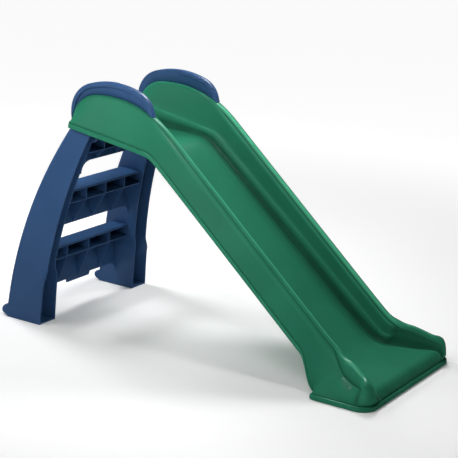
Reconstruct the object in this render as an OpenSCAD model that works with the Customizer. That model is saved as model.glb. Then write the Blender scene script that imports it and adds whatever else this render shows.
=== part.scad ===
// Folding toddler slide: a moulded slide, a fold-under ladder and two hand rails.
// Millimetres, +Z up, +X towards the foot of the slide, origin on the floor at the middle.

/* [Slide] */
// Height of the platform above the floor
platform_h = 447; // [435:1:460]
// Length of the platform from its rear edge to the crest
platform_l = 203; // [198:1:212]
// Slope of the run in degrees
run_angle = 40.7; // [39.5:0.1:42]
// Length of the foot from the end of the run to the front lip
foot_l = 155; // [150:1:164]
// Height of the bed at the foot
foot_bed_h = 34; // [30:1:38]
// Width over the foot flange and over the ladder's feet
overall_w = 457; // [450:1:470]
// Thickness of the moulded sheet
sheet_t = 3.2; // [2.8:0.1:3.6]
// Height of the side walls, square to the run
wall_h = 66; // [62:1:70]
// Half width to the inner edge of the rim
rim_half_w = 140; // [138:0.5:143]
// Width of the rim along the run
rim_w = 8; // [7:0.5:10]
// Flat of the bed to the inner edge of the rim
wall_w = 55; // [50:1:60]
// Drop from the rim to the shoulder outside it
shoulder_drop = 17; // [14:0.5:19]
// Half width to the bottom edge of the side panels
skirt_half_w = 184; // [182:0.5:186]
// Height of the lip along the bottom edge of the side panels
lip_h = 9; // [7:0.5:11]

/* [Foot] */
// Thickness of the flange round the foot
flange_h = 12; // [10:0.5:14]
// Width of the flange round the foot
flange_w = 7; // [6:0.5:9]
// Radius of the flange's front corners
corner_r = 36; // [30:1:40]
// Radius of the roll at the front edge of the bed
front_roll = 24; // [20:1:27]
// How far the rims flare outwards at the front
rim_flare = 45; // [40:1:48]

/* [Arch] */
// Height of the side arches above the platform
arch_h = 107; // [103:1:111]
// Top of the arch behind the crest
arch_back = 120; // [116:1:124]
// Radius at the rear of the arch
arch_rear_r = 68; // [64:1:72]
// Overhang of the arch behind the platform
arch_overhang = 13; // [10:1:16]
// Width of the arch's flat top, where the hand rail sits
arch_w = 14; // [13:0.5:16]

/* [Hand rails] */
// Height of the hand rail over the top of the arch
rail_h = 32; // [28:1:36]
// Width of the rail's top flange
rail_w = 18.5; // [17:0.5:20]
// Thickness of the rail's top flange
rail_flange_t = 11; // [9:0.5:13]
// Thickness of the rail's web
rail_web_t = 13; // [12:0.5:14.5]
// Gap between a hand rail and its seat
rail_gap = 0.3; // [0.2:0.1:0.5]

/* [Ladder] */
// Height of the lower tread
tread_low_h = 166; // [160:1:172]
// Height of the upper tread
tread_high_h = 315; // [308:1:322]
// Depth of the legs at the floor
leg_d = 105; // [98:1:112]
// Radius of the legs' front edge
leg_front_r = 1130; // [1050:10:1250]
// Radius of the legs' rear edge
leg_rear_r = 880; // [860:10:950]
// Lean of the outer leg faces, as a share of the height
leg_lean = 0.117; // [0.11:0.001:0.122]
// Width of each leg above its foot
leg_w = 42; // [39:0.5:44]
// Half width between the feet
foot_inner_w = 167; // [162:1:172]
// Thickness of the ladder's walls
ladder_t = 3.5; // [3:0.1:4]
// Radius of the legs' rear corners
leg_corner_r = 18; // [14:1:22]
// Reach of the heel bead behind the legs
heel_d = 15; // [12:1:18]
// Depth of the box under each tread
cell_h = 25; // [22:1:28]
// Height of the ribbed panel under each box
riser_h = 72; // [66:1:76]
// Thickness of the ribs under the treads
rib_t = 3; // [2.5:0.1:4]

/* [Pivot] */
// Height of the pivot above the platform
pivot_rise = 46; // [44:1:50]
// Diameter of the pivot pins
pin_d = 10; // [8:0.5:11]
// Radial play of the pins in the ladder's ears
pin_play = 0.05; // [0.02:0.01:0.1]
// Diameter of the bosses that hold the pins
boss_d = 22; // [19:1:24]
// Thickness of the ladder's ears
ear_t = 16; // [13:0.5:17]
// Gap between the ladder and the slide where they meet
fold_gap = 0.4; // [0.3:0.1:0.8]

/* [Hidden] */
slide_green = [0.13, 0.44, 0.31];
ladder_blue = [0.13, 0.24, 0.42];
pin_grey = [0.6, 0.6, 0.62];
$fn = 48;

// Along the slide, u runs forward from the crest, where the platform turns into the run
slope = tan(run_angle);
run_l = (platform_h - foot_bed_h) / slope;
front_u = run_l + foot_l;
foot_half_w = overall_w / 2;
wall_v = wall_h / cos(run_angle);

// Roundings of the bed and of the edges, as the rise at the corner of the two lines
crest_soft = 3;
runout_soft = 18;
edge_soft = 4;

// Ledge along the inside of the walls
ledge_rise = 15;
ledge_climb = 0.076;
ledge_fall = 0.175;
ledge_foot_rise = 27;
ledge_w = 7;

// Bottom edge of the side panels
skirt_rear_rise = 24;
skirt_fall = 0.14;
skirt_run_rise = 10;
lip_w = 3;

// Where the foot's features start and end, measured from the end of the run
flare_start = -42;
waist_s = 8;
flange_s = 16;
waist_y = 205;
nose_start = 20;
nose_end = 70;
nose_w = 24;
nose_rise = 73;
post_start = 117;
post_l = 9;
nose_fall = 0.33;
crease_end = 51;

function smooth_max(a, b, h) = (a + b + sqrt((a - b) * (a - b) + 4 * h * h)) / 2;
function smooth_min(a, b, h) = (a + b - sqrt((a - b) * (a - b) + 4 * h * h)) / 2;
function clamp01(t) = min(max(t, 0), 1);
function ease(t) = clamp01(t) * clamp01(t) * (3 - 2 * clamp01(t));
function mix(a, b, t) = a + (b - a) * t;

// Arch: a front arc tangent to the rim of the run, and a tighter rear arc tangent to the front one
arch_top_z = platform_h + arch_h;
arch_r = (platform_h + wall_v + slope * arch_back - arch_top_z) * cos(run_angle) / (1 - cos(run_angle));
arch_z = arch_top_z - arch_r;
rear_edge_u = -platform_l - arch_overhang;
arch_turn = asin((-arch_back - rear_edge_u - arch_rear_r) / (arch_r - arch_rear_r));
arch_join_u = -arch_back - arch_r * sin(arch_turn);
rear_arc_u = rear_edge_u + arch_rear_r;
rear_arc_z = arch_z + (arch_r - arch_rear_r) * cos(arch_turn);
rear_cut_angle = 171;

// Lines along the slide
function run_line(u) = platform_h - slope * u;
function roll_start() = front_u - flange_w - front_roll;
function roll(u) = sqrt(max(0, 1 - pow(clamp01((u - roll_start()) / front_roll), 2.4)));
function bed_line(u) =
    smooth_min(platform_h, smooth_max(run_line(u), foot_bed_h, runout_soft), crest_soft);
function rim_line(u) =
    u < -arch_back + arch_r * sin(run_angle)
    ? arch_z + sqrt(arch_r * arch_r - pow(u + arch_back, 2))
    : smooth_max(run_line(u) + wall_v, nose_line(u - run_l), 2);
function nose_line(s) =
    foot_bed_h + nose_rise - nose_fall * s + 6 * ease((s - 55) / 25) * (1 - ease((s - 80) / 55));
function ledge_line(u) =
    smooth_max(smooth_min(platform_h + ledge_rise - ledge_fall * u,
                          run_line(u) + ledge_rise + ledge_climb * u, 1.5),
               foot_bed_h + ledge_foot_rise, edge_soft);
function skirt_line(u) =
    let (s = u - run_l)
    smooth_min(platform_h + skirt_rear_rise - skirt_fall * (u + platform_l),
               run_line(u) + skirt_run_rise, edge_soft)
    * (1 - 0.72 * ease((s - flare_start) / (flange_s - 2 - flare_start))) * (1 - flange_share(u));
function flange_share(u) = ease((u - run_l - waist_s) / (flange_s - waist_s));
function bed_cos(u) = 1 / sqrt(1 + pow((bed_line(u + 1) - bed_line(u - 1)) / 2, 2));

// Half widths along the slide
function foot_share(u) = pow(clamp01((u - run_l - nose_start) / (foot_l - nose_start - 15)), 1.4);
function edge_half_w(u) =
    let (waist = mix(skirt_half_w, waist_y, ease((u - run_l - flare_start) / (waist_s - flare_start))),
         past = u - front_u + corner_r)
    mix(waist, foot_half_w, flange_share(u))
    - (past > 0 ? corner_r - sqrt(max(0, pow(corner_r, 2) - pow(past, 2))) : 0);
function nose_root(s) = foot_bed_h + 9.5 + 14 * (1 - ease((s - 45) / 55));
function nose_share(u) = ease((u - run_l - nose_start) / (nose_end - nose_start));
function arch_share(u) = 1 - ease((u + 20) / 60);

// Half of the outer section at a station [base u, top u, top z], from the middle to the bottom edge
function outer_half(st) =
    let (u = st[0], s = u - run_l, arch = arch_share(u), nose = nose_share(u),
         post = ease((s - post_start) / post_l), tight = mix(1, 0.5, foot_share(u)),
         top = st[2], bed = bed_line(u),
         ledge = min(ledge_line(u), mix(top - 22, bed + 0.55 * (top - bed), nose)),
         rim_z = top - 2.5 - 8 * nose, crease_z = rim_z - min(19.5, 0.6 * (rim_z - ledge - 1.5)),
         skirt = skirt_line(u),
         edge = edge_half_w(u), panel = edge - mix(lip_w, flange_w, flange_share(u)),
         in_y = rim_half_w - 5 * arch + rim_flare * foot_share(u),
         out_y = min(in_y + mix(mix(rim_w, arch_w, arch), nose_w, nose), panel - 12),
         rim_y = min(in_y, out_y - mix(4, 12, nose)),
         drop = mix(shoulder_drop * clamp01(0.2 + 0.8 * u / 200), 2, arch),
         root = [min(out_y + 2.5, panel - 8), mix(top - drop, nose_root(s), nose)],
         shoulder = mix(root + [5 - 3 * arch - nose, -1 - nose], [panel - 4, nose_root(s) - 6], post),
         lip = mix(mix(lip_h, 3, ease((s + 30) / (waist_s + 30))), flange_h, flange_share(u)),
         hem = [panel, skirt + lip + 0.6], crease = crease_point(s, shoulder, hem, post),
         belly = bed + 0.75 * (ledge - bed),
         fillet = wall_w * 0.45)
    [[0, bed], [rim_y - wall_w * tight, bed],
     [rim_y - (wall_w - fillet * sin(35)) * tight, mix(bed, belly, 1 - cos(35))],
     [rim_y - (wall_w - fillet * sin(70)) * tight, mix(bed, belly, 1 - cos(70))],
     [rim_y - (ledge_w + 21) * tight, ledge], [rim_y - 21 * tight, ledge + 1.5],
     [rim_y - 9 * tight, crease_z], [rim_y - 6.5 * tight, mix(crease_z, rim_z, 0.13)],
     [rim_y - 1.5, rim_z], [rim_y, rim_z + 2.5],
     [out_y - 8 * nose, top], [out_y + 1.2, top - mix(2, 12, nose) * (1 - 0.6 * arch)], root, shoulder,
     crease, hem, [edge - 1, skirt + lip], [edge, skirt]];
// The crease that climbs from the waist to the root of the nose, over the facet of the foot
function crease_point(s, shoulder, hem, post) =
    let (waist = [waist_y - lip_w - 3, flange_h + 6.5], high = shoulder + [2, -3])
    s < waist_s ? mix((shoulder + hem) / 2, hem + [-3, 3], ease((s + 30) / (waist_s + 30)))
    : s < crease_end ? mix(waist, high, (s - waist_s) / (crease_end - waist_s))
    : mix(high, (shoulder + hem) / 2 + [3, 4] * (1 - post), ease((s - crease_end) / 25));

// Unit normals of a half section that was squared to the run, pointing under the sheet
function seg_normal(a, b) = let (d = b - a, l = norm(d)) [d[1], -d[0]] / l;
function corner_offset(a, p, b, t) =
    let (n = seg_normal(a, p), m = seg_normal(p, b)) (n + m) * t / max(0.6, 1 + n * m);

// Half of the inner section: the outer one moved in by the sheet, with a solid rim and lip
function inner_half(half, u) =
    let (c = bed_cos(u), t = sheet_t, nose = nose_share(u),
         squared = [for (p = half) [p[0], p[1] * c]],
         over_middle = [-squared[1][0], squared[1][1]],
         moved = [for (i = [0 : 14])
             let (q = squared[i] + corner_offset(i == 0 ? over_middle : squared[i - 1], squared[i],
                                                 squared[i + 1], t))
             [q[0], q[1] / c]],
         root = half[12] - [mix(1.5, t, nose), t / c + 1],
         wall = half[15][0] - 1.3 * t,
         shoulder = [min(half[13][0] - 1.5, wall - 2.6), half[13][1] - t / c - 0.6],
         hem = [wall - 1.6, mix(half[15][1], half[17][1], 0.3)])
    concat([for (i = [0 : 7]) moved[i]],
           [for (i = [1 : 4]) mix(mix(moved[7], root, i / 5), moved[i + 7], nose)],
           [root, shoulder, [min(moved[14][0], wall - 2), moved[14][1]], hem,
            [wall - 0.8, mix(half[16][1], half[17][1], 0.6)], [wall, half[17][1]]]);

// Stations [base u, top u, top z] from the rear edge to the front roll
rear_stations = [for (a = [rear_cut_angle, 158, 144, 128, 112])
    let (s = (a - 90 - arch_turn) / (rear_cut_angle - 90 - arch_turn))
    [mix(arch_join_u, -platform_l, pow(s, 0.8)), rear_arc_u + arch_rear_r * cos(a),
     rear_arc_z + arch_rear_r * sin(a)]];
arch_us = [for (s = [0 : 0.2 : 0.8]) mix(arch_join_u, -20, s)];
crest_us = [-20, -8, 0, 8, 18, 30, 44, 60];
run_us = [120, 200, run_l - 120];
flare_us = [for (s = [-60, -48, -40, -32, -24, -16, -8, -1, 5, 8, 10, 12, 14, 16]) run_l + s];
nose_us = [for (s = [20, 25, 31, 38, 45, 51, 57, 63, 70, 78]) run_l + s];
deck_us = [for (s = [0.3, 0.6, 0.85, 0.93]) mix(run_l + 78, roll_start(), s)];
roll_us = [for (a = [0, 22, 40, 56, 70, 82]) roll_start() + front_roll * sin(a)];
level_us = concat(arch_us, crest_us, run_us, flare_us, nose_us, deck_us, roll_us);
stations = concat(rear_stations, [for (u = level_us) [u, u, rim_line(u)]]);

// A half section's points in space, leaning with the rear edge and rolled down at the front
function placed(half, st, low, pull) =
    let (foot = half[17][1], reach = max(st[2] - foot, 1),
         back = pull * ease((st[0] - roll_start()) / (front_u - roll_start())))
    [for (p = half)
        [mix(st[0], st[1], clamp01((p[1] - foot) / reach)) - back, p[0],
         p[1] > low ? mix(low, p[1], roll(st[0])) : p[1]]];
function both_sides(half) =
    concat([for (i = [len(half) - 1 : -1 : 1]) [half[i][0], -half[i][1], half[i][2]]], half);

// Rings of the front lip, level at z across the foot
front_wall = 10;
function lip_ring(half, u, z) = both_sides([for (i = [0 : 17]) [u, half[i][0], i == 17 ? 0 : z]]);
function lip_half(back) = let (u = front_u - back) outer_half([u, u, rim_line(u)]);
function lip_half_in(back) =
    let (half = lip_half(back), wall = half[15][0] - 1.3 * sheet_t) half * (wall / half[17][0]);
outer_rings = concat(
    [for (st = stations) both_sides(placed(outer_half(st), st, flange_h, 0))],
    [lip_ring(lip_half(flange_w), front_u - flange_w, flange_h),
     lip_ring(lip_half(2), front_u - 2, flange_h - 1),
     lip_ring(lip_half(0), front_u, flange_h - 5),
     lip_ring(lip_half(0), front_u, 0)]);
inner_rings = concat(
    [for (st = stations)
        both_sides(placed(inner_half(outer_half(st), st[0]), st, flange_h - sheet_t, front_wall - 2))],
    [lip_ring(lip_half_in(flange_w), front_u - front_wall - 3, flange_h - sheet_t),
     lip_ring(lip_half_in(2), front_u - front_wall - 1.5, flange_h - sheet_t),
     lip_ring(lip_half_in(0), front_u - front_wall, flange_h - sheet_t),
     lip_ring(lip_half_in(0), front_u - front_wall, 0)]);

// Sheet between two equal sets of rings, as triangles, with open or capped ends
module sheet_between(outer, inner, capped) {
    n = len(outer[0]);
    m = len(outer);
    function top(i, j) = i * n + j;
    function under(i, j) = m * n + i * n + j;
    function quad(a, b, c, d) = [[c, b, a], [d, c, a]];
    skins = [for (i = [0 : m - 2], j = [0 : n - 2])
        each concat(quad(top(i, j), top(i + 1, j), top(i + 1, j + 1), top(i, j + 1)),
                    quad(under(i, j), under(i, j + 1), under(i + 1, j + 1), under(i + 1, j)))];
    edges = [for (i = [0 : m - 2])
        each concat(quad(top(i, 0), under(i, 0), under(i + 1, 0), top(i + 1, 0)),
                    quad(top(i, n - 1), top(i + 1, n - 1), under(i + 1, n - 1), under(i, n - 1)))];
    rims = [for (j = [0 : n - 2])
        each concat(quad(top(0, j), top(0, j + 1), under(0, j + 1), under(0, j)),
                    quad(top(m - 1, j), under(m - 1, j), under(m - 1, j + 1), top(m - 1, j + 1)))];
    caps = concat(
        [for (j = [1 : n - 2])
            each [[top(0, j + 1), top(0, j), top(0, 0)], [under(0, 0), under(0, j), under(0, j + 1)],
                  [top(m - 1, 0), top(m - 1, j), top(m - 1, j + 1)],
                  [under(m - 1, j + 1), under(m - 1, j), under(m - 1, 0)]]],
        quad(top(0, 0), top(0, n - 1), under(0, n - 1), under(0, 0)),
        quad(top(m - 1, 0), under(m - 1, 0), under(m - 1, n - 1), top(m - 1, n - 1)));
    polyhedron([for (r = concat(outer, inner)) each r], concat(skins, edges, capped ? caps : rims),
               convexity = 10);
}

// Pivot of the ladder, on the front edge of its legs
leg_front_u0 = -platform_l - 18;
pivot_z = platform_h + pivot_rise;
pivot_u = leg_front_u(pivot_z);
pivot_half = outer_half([pivot_u, pivot_u, rim_line(pivot_u)]);
ear_y = 136;
boss_gap = 0.5;
pin_seat = 0.03;
pin_embed = 11;
pin_from = ear_y - boss_gap - pin_embed;
pin_to = ear_y + ear_t + boss_gap + pin_embed;

// Middle of the sheet at the pivot's height between two points of the section, and its tilt
function at_pivot(a, b) = mix(a[0], b[0], (pivot_z - a[1]) / (b[1] - a[1]));
function tilt_of(a, b) = atan((b[0] - a[0]) / (b[1] - a[1]));
module across(d, from, to) {
    translate([pivot_u, from, pivot_z]) rotate([-90, 0, 0]) cylinder(d = d, h = to - from);
}
module bosses() {
    wall = [pivot_half[5], pivot_half[6]];
    panel = [pivot_half[13], pivot_half[15]];
    difference() {
        union() {
            across(boss_d, ear_y - boss_gap - 40, ear_y - boss_gap);
            across(boss_d, ear_y + ear_t + boss_gap, ear_y + ear_t + 50);
        }
        translate([pivot_u, at_pivot(wall[0], wall[1]) + sheet_t / 2, pivot_z])
            rotate([-tilt_of(wall[0], wall[1]), 0, 0])
                translate([-50, -100, -100]) cube([100, 100, 200]);
        translate([pivot_u, at_pivot(panel[0], panel[1]) - sheet_t / 2, pivot_z])
            rotate([-tilt_of(panel[0], panel[1]), 0, 0])
                translate([-50, 0, -100]) cube([100, 100, 200]);
    }
}
module slide_cuts() {
    across(pin_d + 2 * pin_seat, pin_from - 0.2, pin_to + 0.2);
    for (u = tab_us)
        translate([u - tab_l / 2 - rail_gap, tab_y - rail_gap, arch_top_z - 24])
            cube([tab_l + 2 * rail_gap, tab_t + 2 * rail_gap, 40]);
}
module slide() {
    color(slide_green) placed_in_frame() difference() {
        union() {
            sheet_between(outer_rings, inner_rings, false);
            for (side = [0, 1]) mirror([0, side, 0]) bosses();
        }
        for (side = [0, 1]) mirror([0, side, 0]) slide_cuts();
    }
}

// Hand rails: three tangent arcs over the arch, standing on it with two tabs
rail_top_r = 210;
rail_rear_r = 69;
rail_front_r = 61;
rail_u = -arch_back + 12;
rail_z = arch_top_z + rail_h - rail_top_r;
rail_rear_u = rear_edge_u + 63;
rail_rear_z = rail_z + sqrt(pow(rail_top_r - rail_rear_r, 2) - pow(rail_rear_u - rail_u, 2));
rail_front_u = -arch_back + 61;
rail_front_z = rail_z + sqrt(pow(rail_top_r - rail_front_r, 2) - pow(rail_front_u - rail_u, 2));
rail_in_y = rim_half_w - 6.5;
rail_tip_z = platform_h + 43;
tab_us = [-arch_back - 42, -arch_back + 58];
tab_l = 25;
tab_t = 4;
tab_y = rail_in_y + 5;
tab_h = 10;
function arc(cu, cz, r, a, b, n) =
    [for (i = [0 : n]) let (t = mix(a, b, i / n)) [cu + r * cos(t), cz + r * sin(t)]];
rail_rear_a = atan2(rail_rear_z - rail_z, rail_rear_u - rail_u);
rail_front_a = atan2(rail_front_z - rail_z, rail_front_u - rail_u);
function rail_outline(inset) = concat(
    arc(rail_rear_u, rail_rear_z, rail_rear_r - inset, 205, rail_rear_a, 12),
    arc(rail_u, rail_z, rail_top_r - inset, rail_rear_a, rail_front_a, 8),
    arc(rail_front_u, rail_front_z, rail_front_r - inset, rail_front_a, -5, 10),
    [[rail_front_u, rail_tip_z - 30], [rail_rear_u, rail_tip_z - 30]]);
function arch_outline(gap) = concat(
    arc(rear_arc_u, rear_arc_z, arch_rear_r + gap, 240, 90 + arch_turn, 14),
    arc(-arch_back, arch_z, arch_r + gap, 90 + arch_turn, 50, 24),
    [[0, arch_z]]);
module rail_slice(y0, y1) {
    translate([0, y1, 0]) rotate([90, 0, 0]) linear_extrude(height = y1 - y0) children();
}
module handrail() {
    rail_slice(rail_in_y, rail_in_y + rail_web_t) difference() {
        polygon(rail_outline(0));
        polygon(arch_outline(rail_gap));
        translate([rail_rear_u - 100, 0]) square([200, rail_tip_z]);
    }
    rail_slice(rail_in_y, rail_in_y + rail_w) difference() {
        polygon(rail_outline(0));
        polygon(rail_outline(rail_flange_t));
        polygon(arch_outline(rail_gap));
        translate([rail_rear_u - 100, 0]) square([200, rail_tip_z]);
    }
    for (u = tab_us) {
        base = rim_line(u);
        translate([u - tab_l / 2, tab_y, base - tab_h]) cube([tab_l, tab_t, tab_h + 5]);
    }
}
module left_handrail() {
    color(ladder_blue) placed_in_frame() handrail();
}
module right_handrail() {
    color(ladder_blue) placed_in_frame() mirror([0, 1, 0]) handrail();
}

// Ladder legs, as channels open towards the slide
function leg_front_u(z) = leg_front_u0 + leg_front_r - sqrt(pow(leg_front_r, 2) - pow(max(0, z - 60), 2));
function heel(z) = heel_d * sqrt(max(0, 1 - pow((z - 14) / 11, 2)));
function leg_rear_u(z) =
    leg_front_u0 - leg_d + leg_rear_r - sqrt(pow(leg_rear_r, 2) - pow(max(0, z - 30), 2)) - heel(z);
function leg_out_y(z) = foot_half_w - leg_lean * z;
function leg_bulge(z) = 9 * min(z / 100, 1 - ease((z - 100) / 30)) - 2 * ease((z - 400) / 60);
function leg_in_y(z) = mix(foot_inner_w, max(leg_out_y(z) - leg_w, ear_y + 4), ease((z - 106) / 36));
function leg_setback(z) = 8 * ease((z - 106) / 36);
leg_top_z = platform_h + 21;
leg_zs = concat([0, 3, 6, 10, 14, 18, 21, 24, 27, 60, 100, 106, 112, 118, 124, 130, 136, 142],
                [for (s = [0.2 : 0.2 : 1]) mix(142, leg_top_z, s)]);
function leg_ring(z, at, t) =
    let (f = leg_front_u(z), r = leg_rear_u(z), out = leg_out_y(z), in = leg_in_y(z),
         c = min(leg_corner_r, 0.45 * (out - in)), k = 2 * ladder_t)
    [for (p = concat([[f - leg_setback(z), in + t]],
                     [for (a = [90, 60, 30, 0]) [r + k - (k - t) * cos(a), in + k - (k - t) * sin(a)]],
                     [for (a = [0, 22, 45, 68, 90]) [r + c - (c - t) * cos(a), out - c + (c - t) * sin(a)]],
                     [[mix(r, f, 0.5), out - t], [f, out + leg_bulge(z) - t]]))
        [p[0], p[1], at]];
module leg() {
    last = len(leg_zs) - 1;
    outer = [for (z = leg_zs) leg_ring(z, z, 0)];
    inner = [for (i = [0 : last])
        let (z = leg_zs[i])
        leg_ring(z, i == last ? z - ladder_t : max(z, ladder_t + 0.4 * i), ladder_t)];
    sheet_between(outer, inner, true);
}
ear_r = 16;
module ear() {
    low_z = platform_h - 8;
    low_u = leg_front_u(low_z);
    rail_slice(ear_y, ear_y + ear_t) union() {
        translate([pivot_u, pivot_z]) circle(r = ear_r);
        polygon([[pivot_u - ear_r, pivot_z], [pivot_u + ear_r, pivot_z], [low_u, low_z], [low_u - 36, low_z],
                 [leg_front_u(leg_top_z) - 42, leg_top_z]]);
    }
}

// Treads: a plate over a row of open boxes, and a ribbed panel that slopes to the front edge
gusset_r = 22;
module tread(top_z, front, rear, drop, ribs) {
    floor_z = top_z - cell_h;
    low_z = top_z - drop;
    low_u = mix(rear, front, 0.375);
    intersection() {
        union() {
            rail_slice(-foot_half_w, foot_half_w)
                polygon([[rear, top_z], [front, top_z], [front, top_z - ladder_t],
                         [rear + ladder_t, top_z - ladder_t], [rear + ladder_t, floor_z], [front, floor_z],
                         [front, floor_z - rib_t], [rear + ladder_t, floor_z - rib_t],
                         [low_u + ladder_t, low_z], [low_u, low_z], [rear, floor_z - rib_t]]);
            for (y = ribs)
                rail_slice(y - rib_t / 2, y + rib_t / 2)
                    polygon([[rear + 1, top_z - 1], [front - 0.5, top_z - 1], [front - 0.5, floor_z - rib_t],
                             [low_u + ladder_t + 1, low_z + 1], [low_u + 1, low_z + 1],
                             [rear + 1, floor_z - rib_t]]);
        }
        between_legs(rear - 1, front + 1, low_z - 1, top_z + 1);
    }
    for (side = [0, 1]) mirror([0, side, 0]) gusset(low_u, low_z);
}
// Wedge of space between the legs, reaching halfway into their inner walls
module between_legs(u0, u1, z0, z1) {
    low = leg_in_y(z0) + ladder_t / 2;
    high = leg_in_y(z1) + ladder_t / 2;
    translate([u0, 0, 0]) rotate([90, 0, 90]) linear_extrude(height = u1 - u0)
        polygon([[-low, z0], [low, z0], [high, z1], [-high, z1]]);
}
// Rounded corner between a tread's panel and a leg
module gusset(u, z) {
    y = leg_in_y(z - gusset_r) + ladder_t / 2;
    translate([u, 0, 0]) rotate([90, 0, 90]) linear_extrude(height = ladder_t) difference() {
        translate([y - gusset_r - ladder_t, z - gusset_r]) square([gusset_r + ladder_t, gusset_r + 0.5]);
        translate([y - gusset_r - ladder_t, z - gusset_r]) circle(r = gusset_r);
    }
}
beam_z = platform_h - sheet_t - fold_gap;
// Tab under the middle of the lowest panel
module riser_tab() {
    low_u = mix(leg_rear_u(tread_low_h) + 19, leg_front_u(tread_low_h) - 32, 0.375);
    translate([low_u, -tab_half_w, tread_low_h - cell_h - riser_h - 8]) cube([ladder_t, 2 * tab_half_w, 10]);
}
tab_half_w = 45;
module ladder() {
    color(ladder_blue) placed_in_frame() difference() {
        union() {
            for (side = [0, 1]) mirror([0, side, 0]) {
                leg();
                ear();
            }
            tread(tread_low_h, leg_front_u(tread_low_h) - 32, leg_rear_u(tread_low_h) + 19,
                  cell_h + riser_h, [-90, 0, 90]);
            tread(tread_high_h, leg_front_u(tread_high_h) - 17, leg_rear_u(tread_high_h) + 7,
                  cell_h + riser_h, [-82, 0, 82]);
            tread(beam_z, leg_front_u(beam_z) - 12, leg_rear_u(beam_z) + 18, cell_h + 33, [-82, 0, 82]);
            riser_tab();
        }
        for (side = [0, 1]) mirror([0, side, 0]) across(pin_d + 2 * pin_play, ear_y - 1, ear_y + ear_t + 1);
    }
}

// Pivot pins
module pivot_pin() {
    across(pin_d, pin_from, pin_to);
}
module left_pivot_pin() {
    color(pin_grey) placed_in_frame() pivot_pin();
}
module right_pivot_pin() {
    color(pin_grey) placed_in_frame() mirror([0, 1, 0]) pivot_pin();
}

// The middle of the whole length is set over the origin
rear_u = leg_front_u0 - leg_d - heel_d;
module placed_in_frame() {
    translate([-(rear_u + front_u) / 2, 0, 0]) children();
}
slide();
ladder();
left_handrail();
right_handrail();
left_pivot_pin();
right_pivot_pin();
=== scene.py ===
import math
from types import SimpleNamespace

import bmesh
import bpy
from mathutils import Matrix, Vector


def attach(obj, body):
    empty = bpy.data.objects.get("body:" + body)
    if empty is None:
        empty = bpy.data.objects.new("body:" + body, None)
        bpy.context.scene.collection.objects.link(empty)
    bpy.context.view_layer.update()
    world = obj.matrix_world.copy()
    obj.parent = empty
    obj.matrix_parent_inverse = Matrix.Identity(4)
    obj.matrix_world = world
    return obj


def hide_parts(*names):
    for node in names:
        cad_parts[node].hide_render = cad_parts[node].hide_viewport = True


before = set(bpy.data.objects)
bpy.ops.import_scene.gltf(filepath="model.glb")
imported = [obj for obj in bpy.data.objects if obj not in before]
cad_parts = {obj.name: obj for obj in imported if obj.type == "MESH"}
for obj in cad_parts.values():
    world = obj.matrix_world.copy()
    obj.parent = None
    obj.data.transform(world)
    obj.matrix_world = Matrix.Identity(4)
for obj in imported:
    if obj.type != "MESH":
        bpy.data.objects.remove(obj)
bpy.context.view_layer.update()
scene = bpy.context.scene
mm = 0.001
weld = 0.01 * mm  # points closer than this are one
print("frame loaded:", sorted(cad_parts))


def lerp(a, b, t):
    return a + (b - a) * t


def clamp01(t):
    return min(max(t, 0.0), 1.0)


def ease(t):
    t = clamp01(t)
    return t * t * (3 - 2 * t)


def bell(x):  # 1 at 0, fading on both sides
    return math.exp(-x * x)


def smoothMax(a, b, soft):
    return (a + b + math.sqrt((a - b) ** 2 + 4 * soft * soft)) / 2


def smoothMin(a, b, soft):
    return (a + b - math.sqrt((a - b) ** 2 + 4 * soft * soft)) / 2


def spread(a, b, count):  # evenly spaced numbers, both ends included
    return [lerp(a, b, k / (count - 1)) for k in range(count)]


def onCircle(degrees):
    turn = math.radians(degrees)
    return math.cos(turn), math.sin(turn)


# camera at the photograph's place, in mm and degrees
viewpoint = {
    "target": (-9.34, 0.0, 263.99), "azimuth": 28.74, "elevation": 15.02, "roll": 4.78,
    "distance": 3806.72, "lens": 128.75, "sensor": 36, "clipEnd": 100,
}


def setCamera(look):
    az, el, roll = (math.radians(look[k]) for k in ("azimuth", "elevation", "roll"))
    back = Vector((math.sin(az) * math.cos(el), -math.cos(az) * math.cos(el), math.sin(el)))
    right = Vector((math.cos(az), math.sin(az), 0))
    up = back.cross(right)
    side = right * math.cos(roll) + up * math.sin(roll)
    top = up * math.cos(roll) - right * math.sin(roll)
    data = bpy.data.cameras.new("photoCamera")
    data.lens = look["lens"]
    data.sensor_width = look["sensor"]
    data.clip_end = look["clipEnd"]
    camera = bpy.data.objects.new("photoCamera", data)
    place = (Vector(look["target"]) + back * look["distance"]) * mm
    turn = Matrix((side, top, back)).transposed().to_4x4()
    camera.matrix_world = Matrix.Translation(place) @ turn
    scene.collection.objects.link(camera)
    scene.camera = camera


setCamera(viewpoint)
print("camera set")


# shader maths written as Python expressions
class Wire:
    def __init__(self, tree, socket=None):
        self.tree = tree
        self.socket = socket

    def make(self, kind, settings=None, values=None, out=0):
        node = self.tree.nodes.new(kind)
        for key, value in (settings or {}).items():
            setattr(node, key, value)
        for key, value in (values or {}).items():
            if isinstance(value, Wire):
                self.tree.links.new(value.socket, node.inputs[key])
            else:
                node.inputs[key].default_value = value
        return Wire(self.tree, node.outputs[out])

    def maths(self, operation, a, b):
        return self.make("ShaderNodeMath", {"operation": operation}, {0: a, 1: b})

    def __add__(self, other):
        return self.maths("ADD", self, other)

    def __radd__(self, other):
        return self.maths("ADD", other, self)

    def __mul__(self, other):
        return self.maths("MULTIPLY", self, other)

    def __rmul__(self, other):
        return self.maths("MULTIPLY", other, self)

    def noise(self, place, scale, detail):
        return self.make("ShaderNodeTexNoise", None, {"Vector": place, "Scale": scale, "Detail": detail})

    def band(self, low, high):  # 0 below low, 1 above high
        return self.make("ShaderNodeMapRange", {"interpolation_type": "SMOOTHSTEP"},
                         {"Value": self, "From Min": low, "From Max": high})

    def tint(self, amount, a, b):
        return self.make("ShaderNodeMix", {"data_type": "RGBA"}, {0: amount, 6: a, 7: b}, 2)


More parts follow.
